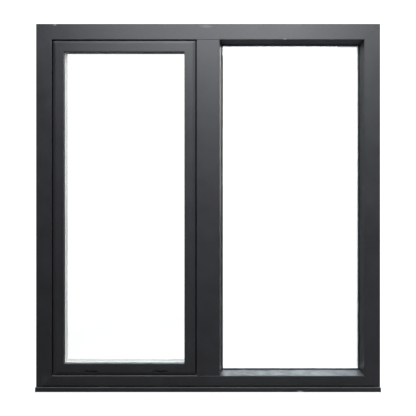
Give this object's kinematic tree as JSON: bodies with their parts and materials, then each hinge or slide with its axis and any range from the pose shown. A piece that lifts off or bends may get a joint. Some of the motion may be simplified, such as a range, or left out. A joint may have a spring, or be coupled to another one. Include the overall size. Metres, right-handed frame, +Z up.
{
  "type": "aluminium-clad wood window",
  "caption": "Rectangular timber window clad outside in anthracite aluminium, with an opening sash beside a fixed light, a mullion, a drip sill and drain slots.",
  "frame": {"origin": "middle of the frame's underside, at mid-depth of the frame timber", "axes": "+X to the right seen from outside, +Y from outside to inside, +Z up"},
  "size_m": [1.4, 0.1775, 1.495],
  "materials": {
    "powder_coat": "fine matt anthracite powder coat on extruded aluminium",
    "timber": "laminated pine under a white-pigmented satin glaze",
    "glass": "clear float glass",
    "spacer": "mill-finish aluminium spacer with perforated face",
    "gasket_rubber": "black extruded rubber",
    "pale_gasket": "light grey extruded rubber",
    "black_plastic": "black moulded plastic",
    "handle_metal": "satin anodised",
    "hinge_metal": "satin plated steel"
  },
  "bodies": {
    "root": {"frame_clad_head": "powder_coat", "frame_clad_left": "powder_coat", "frame_clad_right": "powder_coat", "frame_clad_bottom": "powder_coat", "mullion_clad": "powder_coat", "sash_clad_top": "powder_coat", "sash_clad_left": "powder_coat", "sash_clad_right": "powder_coat", "sash_clad_bottom": "powder_coat", "fixed_liner_head": "powder_coat", "fixed_liner_left": "powder_coat", "fixed_liner_right": "powder_coat", "fixed_liner_sill": "powder_coat", "drip_sill": "powder_coat", "frame_timber_head": "timber", "frame_timber_left": "timber", "frame_timber_right": "timber", "frame_timber_bottom": "timber", "mullion_timber": "timber", "sash_timber_top": "timber", "sash_timber_left": "timber", "sash_timber_right": "timber", "sash_timber_bottom": "timber", "sash_pane_outer": "glass", "sash_pane_inner": "glass", "fixed_pane_outer": "glass", "fixed_pane_inner": "glass", "sash_spacer": "spacer", "fixed_spacer": "spacer", "sash_outer_gasket": "gasket_rubber", "fixed_outer_gasket": "gasket_rubber", "sash_weather_seal": "gasket_rubber", "sash_lip_seal": "gasket_rubber", "sash_inner_gasket": "pale_gasket", "fixed_inner_gasket": "pale_gasket", "drip_sill_end_caps": "black_plastic", "frame_cladding_clips": "black_plastic", "sash_cladding_clips": "black_plastic", "glazing_blocks": "black_plastic", "handle_rosette": "handle_metal", "handle_lever": "handle_metal", "hinge_lower": "hinge_metal", "hinge_upper": "hinge_metal"}
  },
  "joints": []
}
